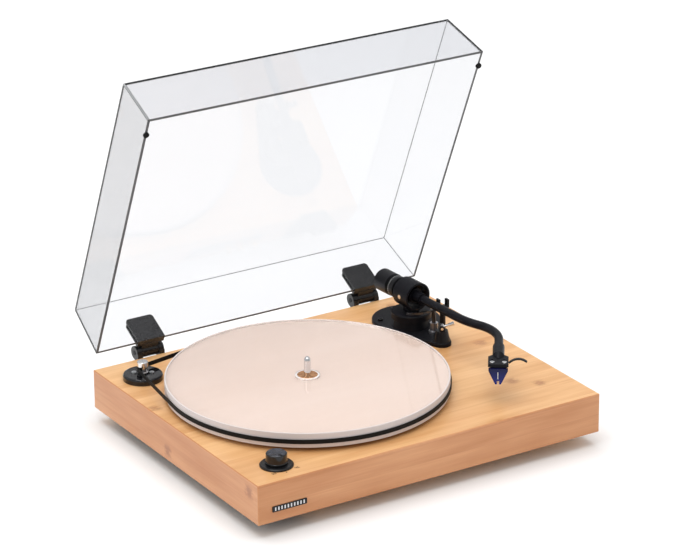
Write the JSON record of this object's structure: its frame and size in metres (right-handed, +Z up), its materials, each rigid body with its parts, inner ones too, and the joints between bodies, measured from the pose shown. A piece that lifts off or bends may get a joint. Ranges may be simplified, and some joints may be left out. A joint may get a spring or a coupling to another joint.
{
  "type": "record player",
  "caption": "Belt-drive record player with a bamboo plinth, acrylic platter, S-shaped arm and a hinged clear dust cover.",
  "frame": {"origin": "spindle axis at the height of the platter's playing surface", "axes": "+Z up along the spindle, +X to the right and -Y towards the front, as the player is used"},
  "size_m": [0.419, 0.4061, 0.4013],
  "materials": {
    "bamboo": "satin lacquer, straight grain",
    "black_board": "matte",
    "zinc_screw": "zinc plated",
    "black_moulding": "fine texture",
    "black_rubber": "matte",
    "frosted_acrylic": "polished top, frosted underside",
    "clear_acrylic": "polished",
    "brass": "turned",
    "bearing_bronze": "turned",
    "polished_steel": "polished",
    "polished_aluminium": "polished",
    "bright_aluminium": "satin",
    "motor_steel": "plated",
    "gloss_black": "gloss",
    "printed_ink": "printed ink",
    "circuit_board": "lacquered",
    "dust_cover_acrylic": "polished",
    "hinge_black": "satin",
    "black_screw": "blackened",
    "satin_black_metal": "satin powder coat",
    "chrome": "polished",
    "black_steel": "blackened",
    "black_plastic": "satin",
    "blue_smoke": "translucent",
    "grey_metal": "satin",
    "gold_plate": "plated",
    "white_insulator": "matte"
  },
  "bodies": {
    "base": {"plinth": "bamboo", "bottom_cover": "black_board", "cover_screws": "zinc_screw", "foot_bodies": "black_moulding", "foot_pads": "black_rubber", "foot_screws": "zinc_screw", "badge": "black_moulding", "bearing_housing": "bearing_bronze", "thrust_ball": "polished_steel", "belt": "black_rubber", "motor_can": "motor_steel", "motor_cap": "gloss_black", "motor_screws": "zinc_screw", "knob_flange": "black_moulding", "rotary_switch": "black_moulding", "legend_marks": "printed_ink", "control_board": "circuit_board", "hinge_brackets": "hinge_black", "hinge_screws": "black_screw", "hinge_pins": "black_screw", "arm_base_plate": "satin_black_metal", "arm_base_screws": "black_screw", "arm_column": "satin_black_metal", "column_ring": "satin_black_metal", "cue_block": "black_plastic", "lift_cylinder": "bright_aluminium", "arm_rest": "black_plastic", "rear_plate": "black_moulding", "rca_shells": "gold_plate", "rca_insulators": "white_insulator", "ground_post": "gold_plate", "dc_inlet": "black_moulding"},
    "turning_platter": {"platter": "frosted_acrylic", "hub_collar": "clear_acrylic", "hub": "brass", "spindle": "polished_steel"},
    "motor_pulley": {"pulley": "polished_aluminium", "motor_shaft": "polished_steel"},
    "lid": {"dust_cover": "dust_cover_acrylic", "lid_bumpers": "black_rubber", "hinge_leaves": "hinge_black"},
    "knob": {"speed_knob": "gloss_black", "switch_shaft": "polished_steel"},
    "arm_yoke": {"gimbal_housing": "satin_black_metal", "swing_shaft": "polished_steel", "pivot_screws": "chrome"},
    "arm": {"gimbal_block": "satin_black_metal", "arm_tube": "satin_black_metal", "headshell_nut": "satin_black_metal", "headshell": "satin_black_metal", "cartridge_screws": "chrome", "cartridge": "black_plastic", "stylus_holder": "blue_smoke", "cantilever": "polished_steel", "finger_lift": "black_plastic"},
    "weight": {"counterweight": "black_steel"},
    "force_dial": {"weight_dial": "black_plastic"},
    "skate_dial": {"anti_skate_dial": "black_plastic"},
    "lever": {"cue_lever": "polished_aluminium"},
    "lift": {"lift_bar": "grey_metal"}
  },
  "joints": [
    {"name": "platter_spin", "type": "hinge", "parent": "base", "child": "turning_platter", "pos_m": [0, 0, -0.02], "axis": [0, 0, 1], "continuous": true},
    {"name": "pulley_spin", "type": "hinge", "parent": "base", "child": "motor_pulley", "pos_m": [-0.1297, 0.1244, -0.02], "axis": [0, 0, 1], "continuous": true},
    {"name": "lid_hinge", "type": "hinge", "parent": "base", "child": "lid", "pos_m": [0.0458, 0.1819, -0.016], "axis": [1, 0, 0], "range_deg": [0, 66.4]},
    {"name": "speed_switch", "type": "hinge", "parent": "base", "child": "knob", "pos_m": [-0.122, -0.1395, -0.02], "axis": [0, 0, 1], "range_deg": [-40, 40]},
    {"name": "arm_swing", "type": "hinge", "parent": "base", "child": "arm_yoke", "pos_m": [0.1853, 0.0841, -0.02], "axis": [0, 0, -1], "range_deg": [0, 42]},
    {"name": "arm_tilt", "type": "hinge", "parent": "arm_yoke", "child": "arm", "pos_m": [0.1853, 0.0841, 0.0215], "axis": [-0.9982, -0.0602, 0], "range_deg": [0, 4]},
    {"name": "weight_slide", "type": "slide", "parent": "arm", "child": "weight", "axis": [-0.0602, 0.9982, 0], "range_m": [-0.002, 0.006]},
    {"name": "force_dial_turn", "type": "hinge", "parent": "weight", "child": "force_dial", "pos_m": [0.1853, 0.0841, 0.0215], "axis": [-0.0602, 0.9982, 0], "continuous": true},
    {"name": "anti_skate_turn", "type": "hinge", "parent": "base", "child": "skate_dial", "pos_m": [0.2038, 0.1181, -0.02], "axis": [0, 0, 1], "range_deg": [-120, 120]},
    {"name": "cue_lift", "type": "slide", "parent": "base", "child": "lift", "axis": [0, 0, 1], "range_m": [0, 0.0042]},
    {"name": "cue_turn", "type": "hinge", "parent": "base", "child": "lever", "pos_m": [0.1888, 0.0284, 0.0005], "axis": [-0.5, -0.866, 0], "range_deg": [0, 42]}
  ],
  "couplings": [
    {"joint": "pulley_spin", "follows": "platter_spin", "ratio": 30.2},
    {"joint": "cue_turn", "follows": "cue_lift", "rad_per_m": 174.53}
  ]
}
